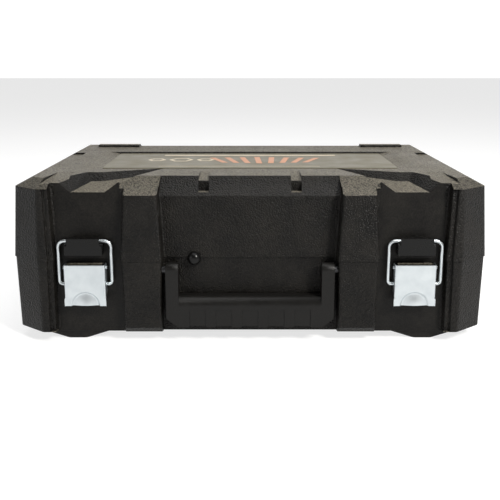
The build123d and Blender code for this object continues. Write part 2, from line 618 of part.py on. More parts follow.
def make_socket(across, drive, drive_end, length):
    """A socket with its drive hole at the bottom and its hexagon mouth at the top."""
    mouth = max(across * 0.66 + 1.0, drive / 2)
    base = drive_end / 2
    edge, waist = 0.8, length * 0.5
    outside = [(0, 0), (base - edge, 0), (base, edge), (base, waist), (mouth, waist + abs(base - mouth) + 1),
               (mouth, length - edge), (mouth - edge, length), (0, length)]
    body = turned(outside)
    body -= square_bar(drive + 0.2, -1, drive * 0.9)
    body -= Pos(0, 0, length * 0.55) * extrude(RegularPolygon(across / 2 + 0.1, 6, major_radius=False), length)
    return body - rod(min(across, drive) * 0.36, (0, 0, 1), (0, 0, length - 1))


def make_extension(length, drive, end, bar):
    """An extension bar along Z, with its female end at the bottom and its male square at the top."""
    male = drive * 1.2
    sleeve, collar = drive * 2.0, drive * 1.3
    body = turned([(0, 0), (end - 0.8, 0), (end, 0.8), (end, sleeve), (bar, sleeve + end - bar),
                   (bar, length - male - collar), (end * 0.85, length - male - collar + 2),
                   (end * 0.85, length - male), (0, length - male)])
    body += square_bar(drive, length - male - 1, length)
    return body - square_bar(drive + 0.2, -1, drive * 1.1)


class Ratchet:
    """A ratchet's sizes, and its pieces around the middle of its head with the drive pointing down."""

    def __init__(self, drive, head, thickness, neck, grip, length):
        self.drive, self.head, self.half = drive, head, thickness / 2
        self.neck, self.grip, self.length = neck, grip, length
        self.gear, self.button = head * 0.66, drive * 0.22
        self.below = self.half + drive * 1.2

    def body(self):
        edge = 1.5
        head = turned([(0, -self.half), (self.head - edge, -self.half), (self.head, -self.half + edge),
                       (self.head, self.half - edge), (self.head - edge, self.half), (0, self.half)])
        start, grip_start = self.head * 0.6, self.length * 0.5
        neck = turned([(0, start), (self.neck, start), (self.neck * 0.85, grip_start - 6),
                       (self.grip * 0.85, grip_start), (self.grip, grip_start + 14), (self.grip, self.length - 8),
                       (self.grip * 0.75, self.length), (0, self.length)])
        body = head + Rot(0, 90, 0) * neck
        body -= rod(self.gear, (0, 0, -self.half - 1), (0, 0, self.half - 3))
        return body - rod(self.button + 0.3, (0, 0, 0), (0, 0, self.half + 1))

    def turning_drive(self):
        drive = rod(self.gear - RUN, (0, 0, -self.half), (0, 0, self.half - 3 - RUN))
        drive += square_bar(self.drive, -self.below, -self.half)
        return drive - rod(self.button + RUN, (0, 0, -self.half - 2), (0, 0, self.half))

    def reverser(self):
        low, high = self.half + 0.1, self.half + 3.1
        dial = rod(self.gear * 0.8, (0, 0, low), (0, 0, high))
        dial += block((-self.head * 0.9, -self.gear * 0.5), (-self.drive * 0.25, self.drive * 0.25), (low, high))
        return dial - rod(self.button + 0.3, (0, 0, low - 1), (0, 0, high + 1))

    def release_button(self):
        return rod(self.button, (0, 0, -self.half + 1), (0, 0, self.half + 5.2))


HALF_RATCHET = Ratchet(HALF_INCH, 20.0, 24.0, 8.5, 12.0, 228.0)
QUARTER_RATCHET = Ratchet(QUARTER_INCH, 12.0, 14.0, 5.0, 8.0, 138.0)


def make_t_bar():
    stop, half = T_STOP_LENGTH, T_BAR_LENGTH / 2
    return lying(0, 0, 0) * turned([(0, -half), (T_BAR_STOP, -half), (T_BAR_STOP, stop - half),
                                    (T_BAR_RADIUS, stop - half), (T_BAR_RADIUS, half - stop),
                                    (T_BAR_STOP, half - stop), (T_BAR_STOP, half), (0, half)])


def make_t_head():
    head = rod(T_HEAD_RADIUS, (0, 0, -T_HEAD_HALF), (0, 0, T_HEAD_HALF))
    head += square_bar(HALF_INCH, -T_HEAD_HALF - T_SQUARE, -T_HEAD_HALF)
    reach = T_HEAD_RADIUS + 1
    return head - rod(T_BAR_RADIUS + RUN, (-reach, 0, 0), (reach, 0, 0))


def make_driver_grip():
    """A fluted plastic grip along X, with a bore for its shaft."""
    r, length = DRIVER_GRIP, DRIVER_GRIP_LENGTH
    grip = turned([(0, 0), (r * 0.8, 0), (r, 5), (r, length - 22), (r * 0.62, length - 10), (r * 0.62, length),
                   (0, length)])
    for i in range(6):
        turn = Rot(0, 0, i * 60)
        grip -= turn * rod(5.0, (r + 3.4, 0, -1), (r + 3.4, 0, length - 20))
    grip -= rod(DRIVER_SHAFT + FIT, (0, 0, length - DRIVER_SEAT), (0, 0, length + 1))
    return lying(0, 0, 0) * grip


def make_driver_shaft():
    start = DRIVER_GRIP_LENGTH - DRIVER_SEAT
    shaft = rod(DRIVER_SHAFT, (0, 0, start), (0, 0, DRIVER_LENGTH - 8))
    shaft += square_bar(QUARTER_INCH, DRIVER_LENGTH - 8.5, DRIVER_LENGTH)
    return lying(0, 0, 0) * shaft


def wrench_sizes(across):
    """Ring radius, jaw radius, and the thickness of the ring, jaw and shank."""
    return across * 0.72 + 1.2, across * 1.0 + 1.0, across * 0.42 + 2.5, across * 0.3 + 2.0, across * 0.24 + 1.5


def make_wrench(across, length):
    """A combination wrench along Y, its ring at the front, lying on its lower face."""
    ring, jaw, ring_high, jaw_high, shank_high = wrench_sizes(across)
    far = length - ring - jaw

    def slab(face, height):
        return Pos(0, 0, (ring_high - height) / 2) * extrude(face, height)
    body = slab(Circle(ring), ring_high) + slab(Pos(0, far) * Circle(jaw), jaw_high)
    body += slab(Pos(0, far / 2) * Rectangle(across * 0.6, far), shank_high)
    hexagon = RegularPolygon(across / 2 + 0.1, 6, major_radius=False)
    body -= Pos(0, 0, -1) * extrude(hexagon + Rot(0, 0, 30) * hexagon, ring_high + 2)
    mouth = Pos(0, far) * Rot(0, 0, 15) * Pos(0, jaw * 0.9) * Rectangle(across + 0.1, jaw * 2.2)
    return body - Pos(0, 0, -1) * extrude(mouth, ring_high + 2)


# ---- Layout of the trays ------------------------------------------------------------------------------
def upright_pocket(x, y, radius, bottom):
    """The outside and the inside of a round cup in the base tray."""
    r = radius + POCKET_GAP
    low = bottom - TOOL_LIFT
    return (rod(r + TRAY_SHEET, (x, y, low - TRAY_SHEET), (x, y, TRAY_TOP)),
            rod(r, (x, y, low), (x, y, TRAY_TOP + 1)))


def long_pocket(x0, x1, y, half, bottom):
    """The outside and the inside of a straight trough along X in the base tray."""
    x = (x0 - POCKET_GAP, x1 + POCKET_GAP)
    ys = (y - half - POCKET_GAP, y + half + POCKET_GAP)
    low, s = bottom - TOOL_LIFT, TRAY_SHEET
    return (block((x[0] - s, x[1] + s), (ys[0] - s, ys[1] + s), (low - s, TRAY_TOP)),
            block(x, ys, (low, TRAY_TOP + 1)))


def row_places(widths, start):
    """The middles of pieces laid side by side from start, with the gap that their pockets need."""
    places = []
    for width in widths:
        places.append(start + width / 2)
        start += width + TOOL_GAP
    return places


def lay_out_base():
    """Every tool in the base tray at its place, and the pockets that hold them."""
    tools, pockets = {}, []
    left = -TRAY_SIDE + 4
    half_widths = [socket_width(*sizes) for sizes in HALF_SOCKETS.items()]
    widest = max(half_widths)

    y = TRAY_FRONT + widest / 2 + 5
    start = -(sum(half_widths) + TOOL_GAP * (len(half_widths) - 1)) / 2
    low = SOCKET_TOP - HALF_SOCKET_LENGTH
    for (size, outer), width, x in zip(HALF_SOCKETS.items(), half_widths, row_places(half_widths, start)):
        tools[f"half_socket_{size}"] = Pos(x, y, low) * make_socket(size, HALF_INCH, outer, HALF_SOCKET_LENGTH)
        pockets.append(upright_pocket(x, y, width / 2, low))

    plug = max(socket_width(*sizes) for sizes in SPARK_PLUG_SOCKETS.items()) / 2
    y += widest / 2 + ROW_GAP + plug
    widths = [socket_width(*sizes) for sizes in QUARTER_SOCKETS.items()]
    low = SOCKET_TOP - QUARTER_SOCKET_LENGTH
    for (size, outer), width, x in zip(QUARTER_SOCKETS.items(), widths, row_places(widths, left)):
        tools[f"quarter_socket_{size}"] = Pos(x, y, low) * make_socket(size, QUARTER_INCH, outer,
                                                                      QUARTER_SOCKET_LENGTH)
        pockets.append(upright_pocket(x, y, width / 2, low))
    end = -left
    for size, outer in SPARK_PLUG_SOCKETS.items():
        radius = socket_width(size, outer) / 2
        x = end - SPARK_PLUG_LENGTH
        tools[f"spark_plug_socket_{size}"] = lying(x, y, TRAY_TOP) * make_socket(size, HALF_INCH, outer,
                                                                               SPARK_PLUG_LENGTH)
        pockets.append(long_pocket(x, end, y, radius, TRAY_TOP - radius))
        end = x - TOOL_GAP

    y += plug + ROW_GAP + HALF_RATCHET.head
    place_ratchet("half_ratchet", HALF_RATCHET, left + HALF_RATCHET.head, y, tools, pockets)

    long_end = EXTENSIONS["half_extension_long"][2]
    y += HALF_RATCHET.head + ROW_GAP + long_end
    x = left
    for name in ("half_extension_long", "quarter_extension"):
        x = place_extension(name, x, y, tools, pockets)

    y += long_end + ROW_GAP + T_HEAD_RADIUS
    x = left + T_BAR_LENGTH / 2
    tools["t_bar"] = Pos(x, y, TRAY_TOP) * make_t_bar()
    tools["t_bar_head"] = Pos(x, y, TRAY_TOP) * make_t_head()
    reach = T_TRAVEL + T_HEAD_RADIUS
    pockets.append(long_pocket(x - T_BAR_LENGTH / 2, x + T_BAR_LENGTH / 2, y, T_BAR_STOP, TRAY_TOP - T_BAR_STOP))
    low = TRAY_TOP - T_HEAD_HALF - T_SQUARE
    pockets.append(long_pocket(x - reach, x + reach, y, T_HEAD_RADIUS, low))
    place_extension("half_extension_short", left + T_BAR_LENGTH + TOOL_GAP, y, tools, pockets)

    y += T_HEAD_RADIUS + ROW_GAP + DRIVER_GRIP
    place_ratchet("quarter_ratchet", QUARTER_RATCHET, left + QUARTER_RATCHET.head, y, tools, pockets)
    x = left + QUARTER_RATCHET.head + QUARTER_RATCHET.length + TOOL_GAP + 20
    tools["driver_grip"] = Pos(x, y, TRAY_TOP) * make_driver_grip()
    tools["driver_shaft"] = Pos(x, y, TRAY_TOP) * make_driver_shaft()
    grip_end = x + DRIVER_GRIP_LENGTH
    pockets.append(long_pocket(x, grip_end, y, DRIVER_GRIP, TRAY_TOP - DRIVER_GRIP))
    pockets.append(long_pocket(grip_end, x + DRIVER_LENGTH, y, DRIVER_SHAFT + 1, TRAY_TOP - DRIVER_SHAFT - 1))
    return tools, pockets


def place_ratchet(name, ratchet, x, y, tools, pockets):
    at = Pos(x, y, TRAY_TOP)
    tools[name + "_body"] = at * ratchet.body()
    tools[name + "_drive"] = at * ratchet.turning_drive()
    tools[name + "_reverser"] = at * ratchet.reverser()
    tools[name + "_button"] = at * ratchet.release_button()
    pockets.append(upright_pocket(x, y, ratchet.head, TRAY_TOP - ratchet.half))
    pockets.append(upright_pocket(x, y, ratchet.drive * 0.75, TRAY_TOP - ratchet.below))
    pockets.append(long_pocket(x, x + ratchet.length, y, ratchet.grip, TRAY_TOP - ratchet.grip))
    print(name, "drive axis", round(x, 3), round(y, 3))


def place_extension(name, x, y, tools, pockets):
    """Lays an extension bar down from x and returns where the next tool may start."""
    length, drive, end, bar = EXTENSIONS[name]
    tools[name] = lying(x, y, TRAY_TOP) * make_extension(length, drive, end, bar)
    pockets.append(long_pocket(x, x + length, y, end, TRAY_TOP - end))
    return x + length + TOOL_GAP


def tray_outline(amount):
    """The inside of the case that both trays fill, moved inwards by amount."""
    front = FRONT + HANDLE_BAY_DEPTH
    half = [(SIDE - 8, front), (SIDE, front + 8), (SIDE, REAR - CORNER_Y), (POST_OUT, REAR)]
    return make_face(FilletPolyline(*inset(mirrored(half), amount), radius=3.0, close=True))


def tray_skirt(amount, low, high):
    return extrude(Pos(0, 0, low) * (tray_outline(amount) - tray_outline(amount + TRAY_SHEET)), high - low)


def make_base_tray(pockets):
    tray = extrude(Pos(0, 0, TRAY_TOP - TRAY_SHEET) * tray_outline(TRAY_INSET), TRAY_SHEET)
    tray += tray_skirt(TRAY_INSET, FLOOR, TRAY_TOP - TRAY_SHEET)
    tray += [outside for outside, _ in pockets]
    return tray - [inside for _, inside in pockets]


def lay_out_lid():
    """The wrenches side by side in the lid tray, and the tray itself."""
    tools, low = {}, SEAM + LID_TRAY_RISE
    amount = WALL + (LID_CEILING - SEAM) * LID_LEAN + TRAY_GAP
    tray = extrude(Pos(0, 0, low) * tray_outline(amount), TRAY_SHEET)
    tray += tray_skirt(amount, low, LID_CEILING)
    widths = [2 * wrench_sizes(size)[1] for size in WRENCHES]
    start = -(sum(widths) + TOOL_GAP * (len(widths) - 1)) / 2
    outsides, insides = [], []
    for (size, length), x in zip(WRENCHES.items(), row_places(widths, start)):
        ring, jaw, height = wrench_sizes(size)[:3]
        y = TRAY_FRONT + 12 + ring
        tools[f"wrench_{size}"] = Pos(x, y, low + TOOL_LIFT) * make_wrench(size, length)
        half, g, s = jaw, POCKET_GAP, TRAY_SHEET
        xs, ys = (x - half - g, x + half + g), (y - ring - g, y - ring + length + g)
        top = low + height + 2 * TOOL_LIFT
        outsides.append(block((xs[0] - s, xs[1] + s), (ys[0] - s, ys[1] + s), (low, top + s)))
        insides.append(block(xs, ys, (low - 1, top)))
    return tools, tray + outsides - insides


# ---- All pieces ---------------------------------------------------------------------------------------
def make_all():
    outer = lid_outer()
    base_tools, pockets = lay_out_base()
    lid_tools, lid_tray = lay_out_lid()
    pieces = {
        "base_shell": make_base_shell(),
        "base_tray": make_base_tray(pockets),
        "seam_plug": make_seam_plug(),
        "lid_shell": make_lid_shell(outer),
        "lid_tray": lid_tray,
        "label_plate": extrude(Pos(0, 0, TOP - LABEL_RECESS) * label_outline(0, 0, 2.4), LABEL_THICKNESS),
        "hinge_pins": Compound([hinge_axis(side * HINGE_OFFSET, HINGE_PIN / 2) for side in (-1, 1)]),
        "latch_pins": Compound([latch_pin(side * LATCH_X, LATCH_PIN / 2) for side in (-1, 1)]),
        "handle_pins": Compound([handle_pin(side, HANDLE_PIN / 2) for side in (-1, 1)]),
        "handle": make_handle(),
    }
    for name, x in (("left", -LATCH_X), ("right", LATCH_X)):
        pieces["keeper_" + name] = make_keeper(x, outer)
        pieces["latch_lever_" + name] = make_lever(x)
        pieces["latch_bail_" + name] = make_bail(x)
    return pieces | base_tools | lid_tools


if __name__ == "__main__":
    os.makedirs("parts", exist_ok=True)
    for node, piece in make_all().items():
        export_step(piece, f"parts/{node}.step")
    for label, point in (("lid hinge", (0, HINGE_Y, SEAM)), ("handle", (0, HANDLE_PIVOT_Y, HANDLE_PIVOT_Z)),
                         ("lever", (LATCH_X, LEVER_PIVOT_Y, LEVER_PIVOT_Z)),
                         ("bail", (LATCH_X, BAIL_Y, BAIL_PIVOT_Z))):
        print(label, *(round(value, 3) for value in point))
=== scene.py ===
"""Looks of the socket wrench set in its moulded case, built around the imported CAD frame.

Metres, X to the right, Y to the rear, Z up. Places come from the frame's boxes.
"""
import json
import math

import bpy
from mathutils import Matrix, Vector


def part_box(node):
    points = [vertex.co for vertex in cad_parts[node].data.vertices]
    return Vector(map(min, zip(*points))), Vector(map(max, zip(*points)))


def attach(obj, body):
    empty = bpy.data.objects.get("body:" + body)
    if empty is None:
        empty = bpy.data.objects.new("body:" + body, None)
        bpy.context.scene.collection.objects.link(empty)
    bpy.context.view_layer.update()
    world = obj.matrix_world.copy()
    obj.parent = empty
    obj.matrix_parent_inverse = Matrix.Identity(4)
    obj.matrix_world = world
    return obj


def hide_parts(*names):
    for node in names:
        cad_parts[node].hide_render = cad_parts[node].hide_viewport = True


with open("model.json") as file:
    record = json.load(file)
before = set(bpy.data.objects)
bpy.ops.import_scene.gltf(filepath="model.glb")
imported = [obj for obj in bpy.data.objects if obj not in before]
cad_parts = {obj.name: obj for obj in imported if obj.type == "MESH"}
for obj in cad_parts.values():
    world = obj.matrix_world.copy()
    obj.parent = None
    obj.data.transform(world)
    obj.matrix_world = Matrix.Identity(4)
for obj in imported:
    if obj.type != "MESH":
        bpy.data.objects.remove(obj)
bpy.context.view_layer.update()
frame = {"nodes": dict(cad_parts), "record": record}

MM = 0.001
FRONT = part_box("lid_shell")[0].y
KNUCKLE_DROP = 12 * MM          # the lid's knuckles reach this far below the seam
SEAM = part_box("lid_shell")[0].z + KNUCKLE_DROP
LABEL_LOW, LABEL_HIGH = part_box("label_plate")

# ---- Camera -------------------------------------------------------------------------------------------
CAMERA_DISTANCE = 0.5677        # from the case's front plane
CAMERA_HEIGHT = 0.2365
CAMERA_PITCH = 12.0             # degrees below level
LENS = 51.55
FRAMING_SHIFT = -0.08


def make_camera():
    data = bpy.data.cameras.new("camera")
    data.lens = LENS
    data.sensor_width = 36.0
    data.shift_y = FRAMING_SHIFT
    data.clip_start, data.clip_end = 0.01, 50.0
    camera = bpy.data.objects.new("camera", data)
    camera.location = (0, FRONT - CAMERA_DISTANCE, CAMERA_HEIGHT)
    camera.rotation_euler = (math.radians(90 - CAMERA_PITCH), 0, 0)
    bpy.context.scene.collection.objects.link(camera)
    bpy.context.scene.camera = camera


# ---- Floor and light ----------------------------------------------------------------------------------
FLOOR_HALF = 8.0
FLOOR_GREY = 0.36
FLOOR_GLOW = 0.74
HORIZON_GLOW = 1.15             # backdrop near the horizon
CEILING_GLOW = 0.16
CEILING_FADE = (0.17, 0.48)     # sines of the elevations, 10 and 29 degrees, between which it dims
FRONT_GLOW = 0.12               # share left on the side in front of the case
FRONT_FADE = (-0.5, 0.3)        # the direction's Y, from the dimmed side to the full one


def make_floor():
    mesh = bpy.data.meshes.new("floor")
    corners = [(-FLOOR_HALF, -FLOOR_HALF), (FLOOR_HALF, -FLOOR_HALF), (FLOOR_HALF, FLOOR_HALF),
               (-FLOOR_HALF, FLOOR_HALF)]
    mesh.from_pydata([(x, y, 0) for x, y in corners], [], [(0, 1, 2, 3)])
    floor = bpy.data.objects.new("floor", mesh)
    bpy.context.scene.collection.objects.link(floor)
    made = bpy.data.materials.new("floor_white")
    made.use_nodes = True
    shader = made.node_tree.nodes["Principled BSDF"]
    shader.inputs["Base Color"].default_value = (FLOOR_GREY, FLOOR_GREY, FLOOR_GREY, 1)
    shader.inputs["Roughness"].default_value = 1.0
    shader.inputs["Specular IOR Level"].default_value = 0.0
    shader.inputs["Emission Color"].default_value = (1, 1, 1, 1)
    shader.inputs["Emission Strength"].default_value = FLOOR_GLOW
    mesh.materials.append(made)


def make_light(name, place, aim, size, power, colour=(1, 1, 1)):
    data = bpy.data.lights.new(name, "AREA")
    data.shape = "RECTANGLE"
    data.size, data.size_y = size
    data.energy = power
    data.color = colour
    light = bpy.data.objects.new(name, data)
    light.location = place
    light.rotation_euler = (Vector(aim) - Vector(place)).to_track_quat("-Z", "Y").to_euler()
    bpy.context.scene.collection.objects.link(light)


def fade(tree, source, limits, ends):
    """A value that eases from one end to the other while its source runs between the limits."""
    made = tree.nodes.new("ShaderNodeMapRange")
    made.interpolation_type = "SMOOTHSTEP"
    made.inputs["From Min"].default_value, made.inputs["From Max"].default_value = limits
    made.inputs["To Min"].default_value, made.inputs["To Max"].default_value = ends
    tree.links.new(source, made.inputs["Value"])
    return made.outputs[0]


def make_backdrop():
    """A white backdrop that falls off to a dim ceiling and to a dimmer side in front of the case."""
    world = bpy.data.worlds.new("studio")
    world.use_nodes = True
    tree = world.node_tree
    direction = tree.nodes.new("ShaderNodeTexCoord")
    parts = tree.nodes.new("ShaderNodeSeparateXYZ")
    tree.links.new(direction.outputs["Generated"], parts.inputs[0])
    ceiling = fade(tree, parts.outputs["Z"], CEILING_FADE, (HORIZON_GLOW, CEILING_GLOW))
    front = fade(tree, parts.outputs["Y"], FRONT_FADE, (FRONT_GLOW, 1.0))
    product = tree.nodes.new("ShaderNodeMath")
    product.operation = "MULTIPLY"
    tree.links.new(ceiling, product.inputs[0])
    tree.links.new(front, product.inputs[1])
    background = tree.nodes["Background"]
    tree.links.new(product.outputs[0], background.inputs["Strength"])
    background.inputs["Color"].default_value = (1, 1, 1, 1)
    bpy.context.scene.world = world


def make_studio():
    make_backdrop()
    bpy.context.scene.view_settings.view_transform = "Standard"
    make_light("key_right", (0.75, -0.95, 0.95), (0.02, -0.1, 0.07), (0.3, 0.3), 24, (1.0, 0.98, 0.94))
    make_light("fill_left", (-1.1, -1.0, 0.5), (0, 0, 0.07), (0.8, 0.8), 3.5)
    make_light("overhead", (0.1, 0.1, 1.5), (0, 0, 0), (1.6, 1.4), 22)


# ---- Materials ----------------------------------------------------------------------------------------
class Shader:
    """One node material with a Principled shader, and short ways to add nodes to it."""

    def __init__(self, name, roughness, metallic=0.0, specular=0.5):
        self.material = bpy.data.materials.new(name)
        self.material.use_nodes = True
        self.tree = self.material.node_tree
        self.surface = self.tree.nodes["Principled BSDF"]
        self.surface.inputs["Roughness"].default_value = roughness
        self.surface.inputs["Metallic"].default_value = metallic
        self.surface.inputs["Specular IOR Level"].default_value = specular
        self.place = self.tree.nodes.new("ShaderNodeTexCoord").outputs["Object"]

    def node(self, kind, **settings):
        made = self.tree.nodes.new(kind)
        for key, value in settings.items():
            setattr(made, key, value)
        return made

    def link(self, source, target):
        self.tree.links.new(source, target)

    def feed(self, node, key, value):
        if isinstance(value, bpy.types.NodeSocket):
            self.link(value, node.inputs[key])
        else:
            node.inputs[key].default_value = value

    def math(self, operation, first, second=0.0):
        made = self.node("ShaderNodeMath", operation=operation)
        self.feed(made, 0, first)
        self.feed(made, 1, second)
        return made.outputs[0]

    def axes(self):
        parts = self.node("ShaderNodeSeparateXYZ")
        self.link(self.place, parts.inputs[0])
        return parts.outputs["X"], parts.outputs["Y"], parts.outputs["Z"]

    def noise(self, size, detail=2.0, stretch=(1, 1, 1)):
        """Smooth noise whose features are about size millimetres across."""
        mapping = self.node("ShaderNodeMapping")
        mapping.inputs["Scale"].default_value = stretch
        self.link(self.place, mapping.inputs["Vector"])
        made = self.node("ShaderNodeTexNoise")
        made.inputs["Scale"].default_value = 1 / (size * MM)
        made.inputs["Detail"].default_value = detail
        self.link(mapping.outputs[0], made.inputs["Vector"])
        return made.outputs["Fac"]

    def cells(self, size):
        """Distance from cell middles, for pebbled grain about size millimetres across."""
        made = self.node("ShaderNodeTexVoronoi", feature="SMOOTH_F1")
        made.inputs["Scale"].default_value = 1 / (size * MM)
        made.inputs["Smoothness"].default_value = 0.5
        self.link(self.place, made.inputs["Vector"])
        return made.outputs["Distance"]

    def spread(self, value, low, high, to_low, to_high):
        made = self.node("ShaderNodeMapRange")
        self.feed(made, "Value", value)
        for key, number in (("From Min", low), ("From Max", high), ("To Min", to_low), ("To Max", to_high)):
            self.feed(made, key, number)
        return made.outputs[0]

    def mix(self, factor, first, second):
        made = self.node("ShaderNodeMix", data_type="RGBA")
        self.feed(made, "Factor", factor)
        for key, colour in ((6, first), (7, second)):
            self.feed(made, key, colour)
        return made.outputs[2]

    def bump(self, height, distance, strength=1.0, edge=0.0):
        """Grain of a depth in millimetres, on edges rounded to a radius in millimetres."""
        made = self.node("ShaderNodeBump")
        if edge:
            rounded = self.node("ShaderNodeBevel", samples=4)
            rounded.inputs["Radius"].default_value = edge * MM
            self.link(rounded.outputs[0], made.inputs["Normal"])
        made.inputs["Distance"].default_value = distance * MM
        self.feed(made, "Strength", strength)
        self.link(height, made.inputs["Height"])
        self.link(made.outputs[0], self.surface.inputs["Normal"])

    def finish(self, colour, roughness):
        self.link(colour, self.surface.inputs["Base Color"])
        self.link(roughness, self.surface.inputs["Roughness"])
        return self.material


RECESS_OFFSET = 2.8 * MM        # from a keeper's middle back to its recess's middle
RECESS_HALF = 27.4 * MM
RECESS_REACH = 15.5 * MM        # the smooth walls end this far behind the front plane
GRAIN_CHANGE = (52 * MM, 54 * MM)   # heights above the seam where the grain turns coarser


def latch_recess_mask(made):
    """1 inside the two latch recesses of the case's front, 0 elsewhere."""
    x, y, _ = made.axes()
    away = made.math("ABSOLUTE", x)
    middle = (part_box("keeper_right")[0].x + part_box("keeper_right")[1].x) / 2 - RECESS_OFFSET
    inside = made.math("LESS_THAN", made.math("ABSOLUTE", made.math("SUBTRACT", away, middle)), RECESS_HALF)
    return made.math("MULTIPLY", inside, made.math("LESS_THAN", y, FRONT + RECESS_REACH))


def painted_sheen_mask(made):
    """1 on faces that look straight up, whose paler colour is a painted sheen standing in for grazing
    reflection, 0 on walls and slopes.
    """
    parts = made.node("ShaderNodeSeparateXYZ")
    made.link(made.node("ShaderNodeNewGeometry").outputs["True Normal"], parts.inputs[0])
    return made.spread(parts.outputs["Z"], 0.80, 0.97, 0.0, 1.0)


def pebbled_plastic(name, dark, light, sheen_colour, grain, height, roughness=0.44):
    """Near-black moulded plastic with a pebbled grain, smoother in the latch recesses, with a painted sheen
    on top: up-facing faces are painted paler in place of grazing reflection.
    """
    made = Shader(name, roughness, specular=0.17)
    smooth = latch_recess_mask(made)
    _, _, z = made.axes()
    coarse = made.spread(z, SEAM + GRAIN_CHANGE[0], SEAM + GRAIN_CHANGE[1], 0.0, 1.0)
    pebbles = made.math("ADD", made.cells(grain), made.math("MULTIPLY", made.noise(grain * 0.8, 2.0), 0.35))
    blotch = made.noise(26.0, 4.0)
    wear = made.noise(4.0, 5.0)
    grainy, blotchy = made.spread(pebbles, 0.9, 0.4, 0.0, 0.5), made.spread(blotch, 0.35, 0.7, 0.0, 0.5)
    tone = made.math("ADD", grainy, blotchy)
    worn = made.math("MULTIPLY", tone, made.spread(wear, 0.3, 0.6, 0.5, 1.0))
    colour = made.mix(worn, (*dark, 1), (*light, 1))
    # Painted sheen: up-facing faces get a paler, speckled colour in place of a grazing reflection.
    painted_sheen = made.math("MULTIPLY", painted_sheen_mask(made), made.spread(pebbles, 0.95, 0.35, 0.15, 1.0))
    colour = made.mix(painted_sheen, colour, (*sheen_colour, 1))
    zone = made.spread(coarse, 0, 1, 1.0, 1.5)
    strength = made.math("MULTIPLY", made.spread(smooth, 0, 1, 0.65, 0.12), zone)
    made.bump(made.math("MULTIPLY", pebbles, -1.0), height, strength, edge=1.1)
    return made.finish(colour, made.spread(blotch, 0.3, 0.7, roughness - 0.05, roughness + 0.07))


def smooth_plastic(name, dark, light, roughness=0.45, grain=0.6, height=0.05, specular=0.3):
    made = Shader(name, roughness, specular=specular)
    blotch = made.noise(20.0, 4.0)
    made.bump(made.noise(grain, 2.0), height, edge=0.4)
    return made.finish(made.mix(blotch, (*dark, 1), (*light, 1)),
                       made.spread(blotch, 0.3, 0.7, roughness - 0.05, roughness + 0.07))


def plated_metal(name, colour, tint, roughness, stretch=(1, 1, 1), scratch=0.01):
    made = Shader(name, roughness, metallic=1.0)
    cloud = made.noise(9.0, 4.0)
    made.bump(made.noise(0.4, 2.0, stretch), scratch)
    return made.finish(made.mix(made.spread(cloud, 0.35, 0.65, 0.0, 1.0), (*colour, 1), (*tint, 1)),
                       made.spread(cloud, 0.3, 0.7, roughness - 0.05, roughness + 0.06))


def make_materials():
    return {
        # The case's third colour is the painted sheen on up-facing faces.
        "case_plastic": pebbled_plastic("case_black", (0.002, 0.0018, 0.0016), (0.013, 0.0115, 0.0095),
                                        (0.19, 0.172, 0.135), 1.3, 1.0),
        "handle_plastic": smooth_plastic("handle_black", (0.004, 0.0038, 0.0035), (0.008, 0.0074, 0.0066),
                                         0.36, 1.0, 0.22, specular=0.2),
        "keeper_plastic": smooth_plastic("keeper_black", (0.002, 0.002, 0.002), (0.004, 0.004, 0.0038), 0.24,
                                         specular=0.2),
        "tray_plastic": smooth_plastic("tray_grey", (0.020, 0.020, 0.020), (0.034, 0.033, 0.032), 0.55),
        "grip_plastic": smooth_plastic("grip_black", (0.016, 0.016, 0.017), (0.026, 0.026, 0.027), 0.35),
        "label": smooth_plastic("label_olive", (0.085, 0.074, 0.043), (0.115, 0.101, 0.062), 0.36, 3.0, 0.02),
        "zinc_plate": plated_metal("zinc", (0.60, 0.64, 0.655), (0.55, 0.59, 0.61), 0.38),
        "pin_steel": plated_metal("pin_steel", (0.06, 0.06, 0.062), (0.045, 0.045, 0.047), 0.45),
        "tool_chrome": plated_metal("chrome", (0.80, 0.81, 0.82), (0.70, 0.71, 0.73), 0.16,
                                    (1, 1, 6), 0.004),
        "black_steel": plated_metal("black_steel", (0.05, 0.05, 0.05), (0.08, 0.08, 0.08), 0.35),
    }


# ---- CAD nodes ----------------------------------------------------------------------------------------
EDGES = {"handle": 1.0, "keeper_left": 0.6, "keeper_right": 0.6}


def round_edges(node, width):
    """Rounds a CAD node's sharp edges, as its mould does."""
    weld = node.modifiers.new("weld", "WELD")
    weld.merge_threshold = 0.01 * MM
    bevel = node.modifiers.new("bevel", "BEVEL")
    bevel.width = width * MM
    bevel.segments = 2
    bevel.limit_method = "ANGLE"
    bevel.angle_limit = math.radians(28)
    bevel.use_clamp_overlap = True
    bevel.harden_normals = True


def dress_frame(materials):
    slots = {part["node"]: part["material_slot"] for part in frame["record"]["subparts"]}
    for name, node in frame["nodes"].items():
        node.data.materials.clear()
        node.data.materials.append(materials[slots[name]])
        if name in EDGES:
            round_edges(node, EDGES[name])


# ---- Latch levers -------------------------------------------------------------------------------------
SHEET = 1.2 * MM
BEND = 1.8 * MM                 # outside radius of the folds along the plate's sides
CHEEK_START = 5.0 * MM          # cheeks begin this far above the plate's lower edge
CHEEK_FULL = 12.0 * MM
DISH_RADIUS = 12.5 * MM
DISH_DEPTH = 2.0 * MM


def eased(share):
    share = min(1.0, max(0.0, share))
    return share * share * (3 - 2 * share)


def lever_section(half, depth):
    """Points (x, y) across the lever from one cheek's rear edge round the front to the other's."""
    bend = min(BEND, depth) if depth > 0 else 0.0
    cheek = [(half, depth + (bend - depth) * i / 4) for i in range(4)]
    fold = [(half - bend + bend * math.cos(math.pi / 2 * i / 6),
             bend - bend * math.sin(math.pi / 2 * i / 6)) for i in range(7)]
    flat = [((half - bend) * (1 - i / 28), 0.0) for i in range(1, 29)]
    right = cheek + fold + flat
    return right + [(-x, y) for x, y in reversed(right[:-1])]


def dish_depth(x, height):
    """How far a point of the plate is pressed in: deepest just under the dish's upper rim."""
    rim = math.hypot(x, height)
    return DISH_DEPTH * eased((DISH_RADIUS - rim) / (2.2 * MM)) * (0.2 + 0.8 * eased(rim / DISH_RADIUS))


